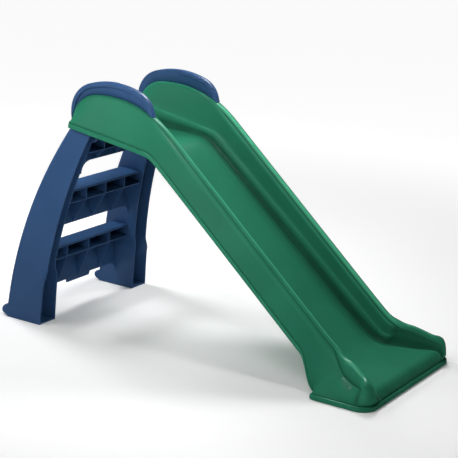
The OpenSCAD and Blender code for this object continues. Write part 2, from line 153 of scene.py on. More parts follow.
def linear(r, g, b):  # a screen colour, 0 to 255, as the shader wants it
    def one(v):
        v /= 255
        return v / 12.92 if v <= 0.04045 else ((v + 0.055) / 1.055) ** 2.4
    return one(r), one(g), one(b), 1.0


# what the plastics share: the scale of each pattern, and how much of it shows
plastic = {
    "cloudScale": 7.0, "cloudBand": (0.35, 0.65), "speckScale": 260.0, "speckBand": (0.60, 0.78),
    "speckShare": 0.15, "patchScale": 22.0, "patchLow": 0.75, "patchRange": 0.5, "shadeAndGrimeShare": 0.62,
    "wearAndHighlightShare": 0.75, "roughScale": 40.0, "bumpDistance": 0.0004, "ior": 1.5,
}
# the worn colour lightens edges with wear and painted highlights; the grime colour darkens hollows with dust
# and painted shade
greenFinish = {
    "base": linear(44, 124, 96), "deep": linear(41, 118, 91), "pale": linear(55, 138, 109),
    "wornAndHighlit": linear(80, 186, 144), "shadeAndGrime": linear(16, 48, 36),
    "roughLow": 0.2, "roughHigh": 0.28, "gloss": 0.15, "grain": 1100, "grainDepth": 0.05,
}
blueFinish = {
    "base": linear(53, 86, 130), "deep": linear(49, 81, 123), "pale": linear(66, 100, 145),
    "wornAndHighlit": linear(92, 128, 176), "shadeAndGrime": linear(14, 24, 36),
    "roughLow": 0.3, "roughHigh": 0.4, "gloss": 0.35, "grain": 1000, "grainDepth": 0.06,
}
pinFinish = {
    "base": linear(150, 152, 154), "deep": linear(140, 142, 145), "pale": linear(172, 173, 174),
    "wornAndHighlit": linear(190, 190, 190), "shadeAndGrime": linear(70, 72, 74),
    "roughLow": 0.36, "roughHigh": 0.46, "gloss": 0.4, "grain": 1400, "grainDepth": 0.08,
}


def mouldedPlastic(name, finish):
    material = bpy.data.materials.new(name)
    material.use_nodes = True
    tree = material.node_tree
    shader = tree.nodes["Principled BSDF"]
    wire = Wire(tree)
    place = wire.make("ShaderNodeTexCoord", out=3)
    cloud = wire.noise(place, plastic["cloudScale"], 3.0)  # broad unevenness of the pigment
    speck = wire.noise(place, plastic["speckScale"], 2.0)
    shade = wire.tint(cloud.band(*plastic["cloudBand"]), finish["deep"], finish["base"])
    shade = wire.tint(speck.band(*plastic["speckBand"]) * plastic["speckShare"], shade, finish["pale"])
    # marks stored on the mesh: wear with painted highlights on edges, dust with painted shade in hollows
    wearAndHighlight = wire.make("ShaderNodeAttribute", {"attribute_name": "wearAndHighlight"}, out=2)
    shadeAndDust = wire.make("ShaderNodeAttribute", {"attribute_name": "shadeAndDust"}, out=2)
    patchy = plastic["patchLow"] + plastic["patchRange"] * wire.noise(place, plastic["patchScale"], 3.0)
    shadeAndDustAmount, wearAndHighlightAmount = shadeAndDust * patchy * plastic["shadeAndGrimeShare"], wearAndHighlight * patchy * plastic["wearAndHighlightShare"]
    shade = wire.tint(shadeAndDustAmount, shade, finish["shadeAndGrime"])  # painted shade, with some dust, darkening corners and hollows
    shade = wire.tint(wearAndHighlightAmount, shade, finish["wornAndHighlit"])  # painted highlights, with some wear, lightening edges
    uneven = wire.noise(place, plastic["roughScale"], 3.0)
    rough = finish["roughLow"] + (finish["roughHigh"] - finish["roughLow"]) * uneven
    grain = wire.noise(place, finish["grain"], 2.0)
    bump = wire.make("ShaderNodeBump", None, {
        "Strength": finish["grainDepth"], "Distance": plastic["bumpDistance"], "Height": grain})
    tree.links.new(shade.socket, shader.inputs["Base Color"])
    tree.links.new(rough.socket, shader.inputs["Roughness"])
    tree.links.new(bump.socket, shader.inputs["Normal"])
    shader.inputs["IOR"].default_value = plastic["ior"]
    shader.inputs["Specular IOR Level"].default_value = finish["gloss"]
    return material


greenPlastic = mouldedPlastic("greenPlastic", greenFinish)
bluePlastic = mouldedPlastic("bluePlastic", blueFinish)
pinPlastic = mouldedPlastic("pinPlastic", pinFinish)
print("plastics mixed")


def placeMesh(name, bm, material):
    data = bpy.data.meshes.new(name)
    bm.to_mesh(data)
    bm.free()
    data.materials.append(material)
    piece = bpy.data.objects.new(name, data)
    scene.collection.objects.link(piece)
    return piece


# stage: pale floor, pale wall and soft lights, in metres
studio = {
    "floor": linear(244, 244, 244), "floorRough": 0.9, "floorReach": 30, "wallRadius": 28, "wallHeight": 40,
    "nearGlow": (0.15, 0.15, 0.15, 1), "farGlow": (0.92, 0.92, 0.92, 1), "glowBand": (0.4, 2.6),
    "world": 0.04,
    "lights": [
        # name, place, aim, width, height, power, whether the plastic mirrors it
        ("archTop", (-0.2, -0.1, 1.25), (-0.15, 0.0, 0.4), 0.16, 0.16, 1.0, True),
        ("runTop", (0.25, -0.15, 1.2), (0.1, 0.0, 0.25), 0.16, 0.16, 1.6, True),
        ("farTop", (-0.15, 0.7, 1.4), (-0.15, 0.0, 0.4), 0.4, 0.4, 12.0, True),
        ("rightHigh", (1.6, 0.8, 1.8), (-0.05, 0.0, 0.25), 0.6, 0.6, 1.0, False),
        ("archNear", (-0.3, -0.65, 0.95), (-0.2, 0.0, 0.5), 0.3, 0.3, 0.5, False),
        ("archLeft", (-0.75, -0.75, 0.85), (-0.2, 0.0, 0.5), 0.4, 0.4, 3.3, False),
        ("runNear", (0.25, -0.75, 0.9), (0.1, -0.1, 0.25), 0.4, 0.4, 2.9, False),
        ("lowFront", (0.5, -2.4, 0.3), (-0.05, 0.0, 0.25), 1.4, 0.4, 1.0, False),
        ("treadBack", (-1.2, 0.2, 1.2), (-0.33, 0.0, 0.3), 0.4, 0.4, 12.0, False),
    ],
}


def glowingPaint(name, colour):
    paint = bpy.data.materials.new(name)
    paint.use_nodes = True
    shader = paint.node_tree.nodes["Principled BSDF"]
    shader.inputs["Base Color"].default_value = colour
    shader.inputs["Emission Strength"].default_value = 1.0
    return paint, shader


def makeFloor(look):
    paper, shader = glowingPaint("floorPaper", look["floor"])
    shader.inputs["Roughness"].default_value = look["floorRough"]
    wire = Wire(paper.node_tree)  # the floor turns white towards the horizon, all round
    place = wire.make("ShaderNodeTexCoord", out=3)
    away = wire.make("ShaderNodeVectorMath", {"operation": "LENGTH"}, {0: place}, 1)
    glow = wire.tint(away.band(*look["glowBand"]), look["nearGlow"], look["farGlow"])
    paper.node_tree.links.new(glow.socket, shader.inputs["Emission Color"])
    bm = bmesh.new()
    bmesh.ops.create_grid(bm, x_segments=8, y_segments=8, size=look["floorReach"])
    floor = placeMesh("paleFloor", bm, paper)
    floor.visible_glossy = False  # keeps the white of the floor off the shiny sides


def makeWall(look):
    paint, shader = glowingPaint("wallPaint", (0, 0, 0, 1))
    shader.inputs["Emission Color"].default_value = look["farGlow"]
    bm = bmesh.new()
    bmesh.ops.create_cone(bm, segments=64, radius1=look["wallRadius"], radius2=look["wallRadius"],
                          depth=look["wallHeight"])
    bmesh.ops.reverse_faces(bm, faces=bm.faces)
    wall = placeMesh("paleWall", bm, paint)
    wall.visible_diffuse = wall.visible_glossy = wall.visible_shadow = False  # seen, but casts no light


def hangLamp(name, place, aim, width, height, power, mirrored):
    lamp = bpy.data.lights.new(name, "AREA")
    lamp.shape = "RECTANGLE"
    lamp.size = width
    lamp.size_y = height
    lamp.energy = power
    lampObject = bpy.data.objects.new(name, lamp)
    lampObject.visible_glossy = mirrored
    lampObject.location = place
    lampObject.rotation_euler = (Vector(aim) - Vector(place)).to_track_quat("-Z", "Y").to_euler()
    scene.collection.objects.link(lampObject)


def dressStage(look):
    world = bpy.data.worlds.new("paleRoom")
    world.use_nodes = True
    air = world.node_tree.nodes["Background"]
    air.inputs["Color"].default_value = (1, 1, 1, 1)
    air.inputs["Strength"].default_value = look["world"]
    scene.world = world
    scene.view_settings.view_transform = "Standard"
    makeFloor(look)
    makeWall(look)
    for lamp in look["lights"]:
        hangLamp(*lamp)


dressStage(studio)
print("stage dressed")


def sheetFromRings(bm, rings, marks=None):  # a flat grid, bent so that each row of points lies on one ring
    rows, cols = len(rings), len(rings[0])
    points = bmesh.ops.create_grid(bm, x_segments=rows - 1, y_segments=cols - 1, size=1)["verts"]
    layers = []
    if marks:
        # the marks: wear with painted highlights, and dust with painted shade
        layers = [bm.verts.layers.float.new(name) for name in ("wearAndHighlight", "shadeAndDust")]
        points = bm.verts[:]  # a new layer makes the old points stale
    for v in points:
        row, col = round((v.co.x + 1) / 2 * (rows - 1)), round((v.co.y + 1) / 2 * (cols - 1))
        v.co = rings[row][col]
        for i, layer in enumerate(layers):
            v[layer] = marks[row][col][i]
    return points


def softCorners(corners, steps):  # each (y, z, soft) corner becomes a short arc that starts soft mm before it
    most = 0.95  # of the line between two corners, shared by their arcs
    points = [Vector(corners[0][:2])]
    for before, corner, after in zip(corners, corners[1:], corners[2:]):
        p, soft = Vector(corner[:2]), corner[2]
        if soft == 0:
            points.append(p)
            continue
        a, b = Vector(before[:2]) - p, Vector(after[:2]) - p
        cutA = min(soft, most * a.length * soft / (soft + before[2]))
        cutB = min(soft, most * b.length * soft / (soft + after[2]))
        start, end = p + a.normalized() * cutA, p + b.normalized() * cutB
        for t in spread(0, 1, steps + 1):
            points.append(start * (1 - t) ** 2 + p * 2 * t * (1 - t) + end * t * t)
    return points + [Vector(corners[-1][:2])]


def cornerMarks(corners, steps):  # wear with painted highlight, and grime with painted shade, of each point that softCorners makes
    marks = [corners[0][3:]]
    for corner in corners[1:-1]:
        marks += [corner[3:]] * (1 if corner[2] == 0 else steps + 1)
    return marks + [corners[-1][3:]]


def giveThickness(bm, thickness):  # a second skin under the sheet, joined to it along the open edges
    bm.normal_update()
    made = bmesh.ops.extrude_face_region(bm, geom=bm.faces[:], use_keep_orig=True)["geom"]
    for v in made:
        if isinstance(v, bmesh.types.BMVert):
            v.co -= v.normal * thickness
    bmesh.ops.recalc_face_normals(bm, faces=bm.faces)


def mergeDoubles(bm):
    bmesh.ops.remove_doubles(bm, verts=bm.verts, dist=weld)


def finishPiece(name, bm, material, body, nodes):
    mergeDoubles(bm)
    piece = placeMesh(name, bm, material)
    for face in piece.data.polygons:
        face.use_smooth = True
    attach(piece, body)
    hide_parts(*nodes)
    return piece


# slide: one moulded sheet, from the rear edge over the crest and down to the foot, in mm
# u runs forward from the crest, where the platform turns into the run, and s from the run's lower end
slide = {
    "middle": 147.0783, "platformHeight": 447, "platformLength": 203, "runAngle": 40.7, "footLength": 155,
    "footBedHeight": 34, "footHalfWidth": 228.5, "sheet": 3.2, "cornerSteps": 4,
    "footSoft": 18, "crestSoft": 8, "lineSoft": 4,
    # bed, with a fine bead beside each wall
    "bedBead": 0.7, "beadGap": 15, "beadHalf": 2.2, "beadStart": 10, "beadFade": 30,
    # rims, which flare at the foot
    "wallHeight": 66, "rimHalfWidth": 137.8, "rimWidth": 10.5, "rimFlare": 47.2, "rimLeast": 4,
    "flareEnd": 15, "flarePower": 1.4, "footTight": 0.5, "crownIn": 0.4,
    # inside of the walls, with pairs of values for the crest and for insideRun further down
    "insideRun": 380, "ledgeIn": (24, 19.5), "wallFootIn": (42.5, 29.5), "coveWidth": 11, "coveMost": 0.9,
    "coveRise": 0.45, "ledgeRise": 15, "ledgeRunRise": 25, "ledgeClimb": 0.038, "ledgeFall": 0.175,
    "ledgeFootRise": 27, "ledgeSoft": 2.5, "ledgeBelowRim": 22, "ledgeWidth": 5.2, "ledgeTilt": 1.5,
    # steps in and down from the rim, on the run and then on the arch
    "rimStep": ((11, 12.5), (6, 4.5)), "rimGroove": ((5, 9.5), (3, 2.5)),
    # the same on the run and then on the nose
    "rimEdge": ((1.2, 0.5), (0.6, 8.3)),
    # angle round the hollow at the wall's foot, and the painted shade with grime there
    "coveShadeAndGrime": ((0, 0.1), (15, 0.6), (30, 1), (45, 1), (60, 0.95), (75, 0.85), (88, 0.75)),
    # the foot's smooth wall: its hollow, and how far up it the corners of the stepped wall end
    "ledgeEnd": 31, "ledgeFade": 16, "wallWidth": 30, "smoothCove": (0.72, 0.42),
    "smoothShares": (0.12, 0.25, 0.6, 0.78),
    # arches
    "archHeight": 107, "archBack": 120, "archRearRadius": 68, "archOverhang": 13, "archWidth": 16.2,
    "archFadeStart": -20, "archFade": 60, "archInset": 5, "archLedgeIn": 1.8, "archWallFoot": 4.7,
    "rearCut": 171, "rearLean": 0.8,
    # outside of the walls, with steps from one corner to the next as (y, z)
    "panelGap": 12, "rootOut": 2.4, "rootGap": 5, "shoulderDrop": 7, "archShoulderDrop": 2,
    "shoulderStep": (6, -3), "archShoulderStep": (2, -1), "noseShoulderStep": (4, -2),
    "skirtHalfWidth": 184, "skirtRearRise": 24, "skirtFall": 0.14, "skirtRunRise": 10, "skirtDrop": 0.72,
    "skirtEnd": 14, "flareStart": -42, "waist": 8, "waistHalfWidth": 205, "waistLip": 3, "waistFade": 30,
    "creaseEnd": 51, "creaseFade": 25, "creaseWaist": (-3, 3), "creaseLow": (-3, 6.5), "creaseHigh": (2, -3),
    "creaseFoot": (3, 4), "lipHeight": 10, "lipWidth": 3, "lipRound": 0.4, "edgeWidth": 3.6, "hemGap": 0.6,
    "grooveHeight": 2.0, "grooveMiddle": 0.7, "grooveDepth": 1.2,
    # points in line keep the marks of an edge off the flat beside it, at these shares of the way
    # on the panel and then on the nose, with a value of its own on the post
    "shoulderEnd": (0.3, 0.12), "postShoulderEnd": 0.4, "hemStart": (0.85, 0.94),
    # at the low and the high end of the inner wall
    "flatEnds": (0.2, 0.8),
    # foot and its flange
    "flangeHeight": 12, "flangeWidth": 7, "flangeStart": 16, "flangeEndRadius": 13, "flangeTurnIn": 34,
    "flangeLip": 0.6, "flangeTuck": 3, "cornerRadius": 40, "footEdge": 4, "frontRoll": 24,
    "rollPower": (2.4, 2.6), "rollPowerStart": 42, "rollPowerLength": 20,
    # noses
    "noseStart": 20, "noseEnd": 70, "noseWidth": 24, "noseRise": 73, "noseFall": 0.33, "noseRimDrop": 10.5,
    "noseLedge": 0.55, "humpRise": 5, "humpStart": 48, "humpLength": 30, "humpEnd": 80, "humpFade": 55,
    "noseRootHeight": 43.5, "noseRootClimb": 14, "noseRootStart": 45, "noseRootLength": 55,
    "flankOut": (1.0, 4.5), "flankDrop": 3.4, "noseFlank": 0.42,
    # rounded posts below the tips of the noses, pushed forward and out
    "postStart": 117, "postFade": 9, "postSeam": 118, "postSeamWidth": 4.5, "postMiddle": 131,
    "postHighlightWidth": 6, "postShoulder": (-3, -10), "postRoot": (-5.5, 2), "postFlankIn": 8,
    "postFlank": (0.6, 0.3), "postForward": 4, "postOut": 2.5, "pushBack": 45, "pushLength": 30, "pushY": 160,
    "pushWidth": 25, "pushRise": 10,
}
slope = math.tan(math.radians(slide["runAngle"]))
runCos, runSin = onCircle(slide["runAngle"])
runLength = (slide["platformHeight"] - slide["footBedHeight"]) / slope
frontU = runLength + slide["footLength"]
wallRise = slide["wallHeight"] / runCos
rollStart = frontU - slide["flangeWidth"] - slide["frontRoll"]
archTop = slide["platformHeight"] + slide["archHeight"]
archFall = slide["platformHeight"] + wallRise + slope * slide["archBack"] - archTop
archRadius = archFall * runCos / (1 - runCos)
archZ = archTop - archRadius
rearArcU = -slide["platformLength"] - slide["archOverhang"] + slide["archRearRadius"]
archTurn = math.degrees(math.asin((-slide["archBack"] - rearArcU) / (archRadius - slide["archRearRadius"])))
archTurnCos, archTurnSin = onCircle(archTurn)
rearArcZ = archZ + (archRadius - slide["archRearRadius"]) * archTurnCos
archJoinU = -slide["archBack"] - archRadius * archTurnSin


def inSlideFrame(u, y, z):  # a place in mm along the slide, in metres from the object's middle
    return Vector((u - slide["middle"], y, z)) * mm


def runLine(u):
    return slide["platformHeight"] - slope * u


def bedLine(u):
    low = smoothMax(runLine(u), slide["footBedHeight"], slide["footSoft"])
    return smoothMin(slide["platformHeight"], low, slide["crestSoft"])


def rimLine(u):
    if u < -slide["archBack"] + archRadius * runSin:
        return archZ + math.sqrt(archRadius ** 2 - (u + slide["archBack"]) ** 2)
    s = u - runLength
    hump = slide["humpRise"] * ease((s - slide["humpStart"]) / slide["humpLength"])
    hump *= 1 - ease((s - slide["humpEnd"]) / slide["humpFade"])
    nose = slide["footBedHeight"] + slide["noseRise"] - slide["noseFall"] * s + hump
    return smoothMax(runLine(u) + wallRise, nose, slide["lineSoft"])


def ledgeLine(u):
    high = slide["platformHeight"] + slide["ledgeRise"] - slide["ledgeFall"] * u
    along = runLine(u) + slide["ledgeRunRise"] + slide["ledgeClimb"] * u
    low = slide["footBedHeight"] + slide["ledgeFootRise"]
    return smoothMax(smoothMin(high, along, slide["ledgeSoft"]), low, slide["lineSoft"])


def flangeShare(u):
    return ease((u - runLength - slide["waist"]) / (slide["flangeStart"] - slide["waist"]))


def skirtLine(u):
    fall = slide["skirtFall"] * (u + slide["platformLength"])
    high = slide["platformHeight"] + slide["skirtRearRise"] - fall
    line = smoothMin(high, runLine(u) + slide["skirtRunRise"], slide["lineSoft"])
    near = ease((u - runLength - slide["flareStart"]) / (slide["skirtEnd"] - slide["flareStart"]))
    return line * (1 - slide["skirtDrop"] * near) * (1 - flangeShare(u))


def edgeHalfWidth(u):  # bottom edge of the side panel, then the line where the foot meets its flange
    flare = ease((u - runLength - slide["flareStart"]) / (slide["waist"] - slide["flareStart"]))
    waist = lerp(slide["skirtHalfWidth"], slide["waistHalfWidth"], flare) - slide["lipWidth"]
    inner = slide["cornerRadius"] - slide["flangeWidth"]
    past = max(0, u - frontU + slide["cornerRadius"])
    cornerCut = inner - math.sqrt(max(0, inner ** 2 - past ** 2))
    return lerp(waist, slide["footHalfWidth"] - slide["flangeWidth"] - cornerCut, flangeShare(u))


def slideSection(u, top):  # what the corners of one section share: places in mm, and shares from 0 to 1
    s = u - runLength
    arch = 1 - ease((u - slide["archFadeStart"]) / slide["archFade"])
    nose = ease((s - slide["noseStart"]) / (slide["noseEnd"] - slide["noseStart"]))
    flareLength = slide["footLength"] - slide["noseStart"] - slide["flareEnd"]
    foot = clamp01((s - slide["noseStart"]) / flareLength) ** slide["flarePower"]
    plain = ease((s - slide["ledgeEnd"]) / slide["ledgeFade"])  # the ledge ends at the foot's smooth wall
    post = ease((s - slide["postStart"]) / slide["postFade"])  # below the nose, the front corner is a post
    down = clamp01(u / slide["insideRun"])
    tight = lerp(1, slide["footTight"], foot)
    bed, panel = bedLine(u), edgeHalfWidth(u)
    inY = slide["rimHalfWidth"] - slide["archInset"] * arch + slide["rimFlare"] * foot
    rimWidth = lerp(lerp(slide["rimWidth"], slide["archWidth"], arch), slide["noseWidth"], nose)
    outY = min(inY + rimWidth, panel - slide["panelGap"])
    rimY = min(inY, outY - slide["rimLeast"])
    noseRim = top - slide["noseRimDrop"]
    ledge = min(ledgeLine(u), lerp(top - slide["ledgeBelowRim"], lerp(bed, top, slide["noseLedge"]), nose))
    ledgeY = rimY - (lerp(*slide["ledgeIn"], down) + slide["archLedgeIn"] * arch) * tight
    steppedFoot = lerp(*slide["wallFootIn"], down) - slide["archWallFoot"] * arch
    wallFoot = rimY - lerp(steppedFoot, slide["wallWidth"] * tight, plain)
    coveWidth = min(slide["coveWidth"], slide["coveMost"] * (ledgeY - wallFoot))
    smoothWidth, smoothRise = slide["smoothCove"]
    coveY = lerp(coveWidth, smoothWidth * (rimY - wallFoot), plain)
    coveZ = lerp(slide["coveRise"] * (ledge - bed), smoothRise * (noseRim - bed), plain)
    return SimpleNamespace(
        u=u, s=s, top=top, arch=arch, run=1 - arch, nose=nose, plain=plain, post=post, tight=tight,
        flange=flangeShare(u), bed=bed, panel=panel, outY=outY, rimY=rimY, ledge=ledge, ledgeY=ledgeY,
        wallFoot=wallFoot, coveY=coveY, coveZ=coveZ)


def bedCorners(at):  # the bed, its bead and the hollow at the wall's foot
    bead, half = at.wallFoot - slide["beadGap"] * at.tight, slide["beadHalf"]
    shown = (1 - at.nose) * ease((at.u - slide["beadStart"]) / slide["beadFade"])
    corners = [
        (0, at.bed, 0, 0, 0),
        (0.5 * bead, at.bed, 0, 0, 0),
        (bead - half, at.bed, 0.8, 0, 0),
        # the bead's wear mark is a painted highlight along it
        (bead, at.bed + slide["bedBead"] * shown, 1.2, 0.4 * shown, 0),
        (bead + half, at.bed, 0.8, 0, 0),
    ]
    # painted shade, with grime, darkening the hollow at the wall's foot
    for degrees, dark in slide["coveShadeAndGrime"]:
        c, s = onCircle(degrees)
        edge = degrees == 0  # on the foot, a painted highlight line where the hollow begins
        wearAndHighlight = 0.45 * at.plain * edge
        shadeAndGrime = 0 if edge and at.plain else dark * lerp(1, 0.8, at.plain)
        corners.append((at.wallFoot + at.coveY * s, at.bed + at.coveZ * (1 - c), 0, wearAndHighlight, shadeAndGrime))
    return corners


def inFromRim(at, steps, share):
    y, z = (lerp(first, last, share) for first, last in zip(*steps))
    return at.rimY - y, at.top - z


def wallCorners(at):  # the inside of the wall up to the rim, stepped on the run and smooth on the foot
    coveEnd = Vector((at.wallFoot + at.coveY, at.bed + at.coveZ))
    rimEdge = Vector(inFromRim(at, slide["rimEdge"], at.nose))
    stepped = 1 - at.plain

    def onWall(y, z, share):  # a place on the stepped wall, and its share of the way up the smooth one
        return Vector((y, z)).lerp(coveEnd.lerp(rimEdge, share), at.plain)

    ledgeShare, lowShare, highShare, grooveShare = slide["smoothShares"]
    ledge = onWall(at.ledgeY, at.ledge, ledgeShare)
    lowWall = onWall(at.ledgeY + slide["ledgeWidth"] * at.tight, at.ledge + slide["ledgeTilt"], lowShare)
    highWall = onWall(*inFromRim(at, slide["rimStep"], at.arch), highShare)
    groove = onWall(*inFromRim(at, slide["rimGroove"], at.arch), grooveShare)
    flatLow, flatHigh = (lowWall.lerp(highWall, share) for share in slide["flatEnds"])
    # wear marks paint highlights on the ledge, the step and the rim edge; grime marks paint shade on the
    # foot's smooth wall and in the groove
    return [
        (*ledge, 2.6, 0.3 * stepped, 0.6 * at.plain),
        (*lowWall, 2.6, 0.05, 0.55 * at.plain),
        (*flatLow, 0, 0, 0.5 * at.plain),
        (*flatHigh, 0, 0, 0.5 * at.plain),
        (*highWall, 2.0, 0.3 * at.run * stepped, 0.45 * at.plain),
        (*groove, 1.0, 0, lerp(0.45 * at.run, 0.4, at.plain)),
        (*rimEdge, lerp(3.2, 9, at.nose), lerp(0.35, 1.25, at.run) * lerp(1, 0.1, at.nose), 0),
    ]


def postMarks(at):  # how near the section is to where the post begins, and to its middle
    # the seam mark paints shade where the post begins; the middle mark paints a highlight down the post's
    # middle
    seamShade = bell((at.s - slide["postSeam"]) / slide["postSeamWidth"])
    return seamShade, bell((at.s - slide["postMiddle"]) / slide["postHighlightWidth"])


def stepFrom(y, z, step):
    return Vector((y + step[0], z + step[1]))


def noseCorners(at):  # over the rim and down to the shoulder, and on the foot over the nose and its post
    nose, post, run, panel = at.nose, at.post, at.run, at.panel
    climb = 1 - ease((at.s - slide["noseRootStart"]) / slide["noseRootLength"])
    noseRoot = slide["noseRootHeight"] + slide["noseRootClimb"] * climb
    drop = lerp(slide["shoulderDrop"], slide["archShoulderDrop"], at.arch)
    rootY = min(at.outY + slide["rootOut"], panel - slide["rootGap"])
    root = Vector((rootY, lerp(at.top - drop, noseRoot, nose)))
    steps = zip(slide["shoulderStep"], slide["archShoulderStep"], slide["noseShoulderStep"])
    shoulder = root + Vector([lerp(lerp(a, b, at.arch), c, nose) for a, b, c in steps])
    shoulder = shoulder.lerp(stepFrom(panel, noseRoot, slide["postShoulder"]), post)
    root = root.lerp(stepFrom(panel, noseRoot, slide["postRoot"]), post)
    flankY = at.outY + lerp(*slide["flankOut"], nose)
    flankZ = lerp(at.top - slide["flankDrop"], lerp(at.top, root.y, slide["noseFlank"]), nose)
    across, down = slide["postFlank"]
    postFlank = Vector((lerp(at.outY, panel - slide["postFlankIn"], across), lerp(at.top, root.y, down)))
    flank = Vector((flankY, flankZ)).lerp(postFlank, post)
    crown = lerp(at.outY - slide["crownIn"], lerp(at.rimY, at.outY, 0.5), nose)
    # wear marks paint highlights on the crown, the post and the shoulder; grime marks paint shade on the
    # flank, the root and the post's seam
    seamShade, middle = postMarks(at)
    bare = 1 - post
    rootShade = max(lerp(0.5 * run, 0.9, nose) * bare, 0.6 * seamShade)
    shoulderHighlight = lerp(0.12 * run, 0.2, nose) * (1 - seamShade) * bare + 0.25 * middle
    return [
        (crown, at.top, lerp(3.6, 14, nose), 0.15 * run + 0.3 * nose * bare, 0),
        (*flank, lerp(1.2, 14, nose), 0, 0.1 * nose * bare),
        (*root, lerp(lerp(0.9, 1.6, nose), 9, post), 0.15 * middle, rootShade),
        (*shoulder, lerp(lerp(4.5, 1.6, nose), 8, post), shoulderHighlight, 0.9 * seamShade),
    ]


def panelCrease(at, shoulder, hem, waisted):  # it climbs across the panel, from the waist up to the nose
    half = (shoulder + hem) / 2
    high = shoulder + Vector(slide["creaseHigh"])
    if at.s < slide["waist"]:
        return half.lerp(hem + Vector(slide["creaseWaist"]), waisted)
    if at.s < slide["creaseEnd"]:
        low = stepFrom(slide["waistHalfWidth"] - slide["lipWidth"], slide["flangeHeight"], slide["creaseLow"])
        return low.lerp(high, (at.s - slide["waist"]) / (slide["creaseEnd"] - slide["waist"]))
    fade = ease((at.s - slide["creaseEnd"]) / slide["creaseFade"])
    return high.lerp(half + Vector(slide["creaseFoot"]) * (1 - at.post), fade)


def panelCorners(at, shoulder):  # the flat side, the groove above its lip and the bottom edge
    nose, flange, panel = at.nose, at.flange, at.panel
    clear = 1 - flange  # the groove and the lip end where the flange begins
    skirt = skirtLine(at.u)
    waisted = ease((at.s + slide["waistFade"]) / (slide["waist"] + slide["waistFade"]))
    lip = lerp(lerp(slide["lipHeight"], slide["waistLip"], waisted), slide["flangeHeight"], flange)
    hem = Vector((panel, skirt + lip + slide["hemGap"]))
    hemTop = hem + Vector((0, slide["grooveHeight"] * clear))
    crease = panelCrease(at, shoulder, hem, waisted)
    endShare = lerp(lerp(*slide["shoulderEnd"], nose), slide["postShoulderEnd"], at.post)
    shoulderEnd = shoulder.lerp(crease, endShare)
    hemStart = crease.lerp(hemTop, lerp(*slide["hemStart"], nose))
    outer = panel + lerp(slide["lipWidth"], slide["flangeLip"], flange)
    lipTop = lerp(skirt + lip - slide["lipRound"], slide["flangeHeight"] - slide["flangeTuck"], flange)
    bottom = lerp(skirt, slide["footEdge"], flange)
    # wear marks paint highlights on the lip and the post's middle; grime marks paint shade in the groove
    # above the lip, along the nose's hem and at the post's seam
    seamShade, middle = postMarks(at)
    return [
        (*shoulderEnd, 0, 0.2 * middle, 0.8 * seamShade),
        (*crease, lerp(4, 12, nose), 0.2 * middle, 0.8 * seamShade),
        (*hemStart, 0, 0, 0.33 * nose),
        (*hemTop, lerp(0.7, 0.4, flange), 0, 0.35),
        (panel - slide["grooveDepth"] * clear, hem.y + slide["grooveMiddle"] * clear, 0.4, 0, 0.45),
        (outer - slide["lipRound"], lipTop, 1.0, lerp(0.25, 0.05, at.arch) * clear, 0),
        (outer, bottom, 1.2, 0.05, 0),
        (outer - slide["edgeWidth"], bottom, 0, 0, 0),
    ]


# half of a section, from the middle of the bed to the bottom edge
# each corner is y, z, soft, wear with painted highlight, grime with painted shade
def slideCorners(u, top):
    at = slideSection(u, top)
    over = noseCorners(at)
    return bedCorners(at) + wallCorners(at) + over + panelCorners(at, Vector(over[-1][:2]))


# u at the bottom, u at the top and height of the top, close together where the section changes fast
def slideStations():
    stations = []
    for degrees in spread(slide["rearCut"], 93 + archTurn, 14):
        share = clamp01((degrees - 90 - archTurn) / (slide["rearCut"] - 90 - archTurn))
        c, s = onCircle(degrees)
        stations.append((lerp(archJoinU, -slide["platformLength"], share ** slide["rearLean"]),
                         rearArcU + slide["archRearRadius"] * c, rearArcZ + slide["archRearRadius"] * s))
    level = spread(archJoinU, -24, 14) + spread(-20, 60, 21) + spread(72, 400, 14)
    level += spread(runLength - 66, runLength + 6, 25) + spread(runLength + 7, runLength + 18, 12)
    level += spread(runLength + 20, rollStart - 3, 36)
    level += [rollStart + slide["frontRoll"] * onCircle(degrees)[1] for degrees in spread(0, 84, 14)]
    return stations + [(u, u, rimLine(u)) for u in level]


def slideRings():
    rings, marks = [], []
    floorLevel = slide["flangeHeight"]
    for u, topU, top in slideStations():
        corners = slideCorners(u, top)
        points = softCorners(corners, slide["cornerSteps"])
        marks.append(cornerMarks(corners, slide["cornerSteps"]))
        hemLine = points[-1].y + slide["lipHeight"] + 1
        past = clamp01((u - rollStart) / slide["frontRoll"])
        atFront = ease((u - frontU + slide["pushBack"]) / slide["pushLength"])
        ring = []
        for p in points:
            lean = clamp01((p.y - hemLine) / max(top - hemLine, 1))
            z = p.y
            if z > floorLevel:  # the front rolls down to the flange, a little fuller at the noses
                tall = clamp01((p.y - slide["rollPowerStart"]) / slide["rollPowerLength"])
                z = lerp(floorLevel, p.y, math.sqrt(1 - past ** lerp(*slide["rollPower"], tall)))
            push = atFront * ease((p.x - slide["pushY"]) / slide["pushWidth"])
            push *= ease((z - floorLevel) / slide["pushRise"])
            ring.append(inSlideFrame(lerp(u, topU, lean) + slide["postForward"] * push,
                                     p.x + slide["postOut"] * push, z))
        rings.append(ring)
    edgeU = frontU - slide["flangeWidth"]
    for z in (floorLevel - 1, slide["footEdge"]):  # the front edge goes down behind the flange
        rings.append([inSlideFrame(edgeU, p.y / mm, min(z, p.z / mm)) for p in rings[-1]])
        marks.append(marks[-1])
    return rings, marks


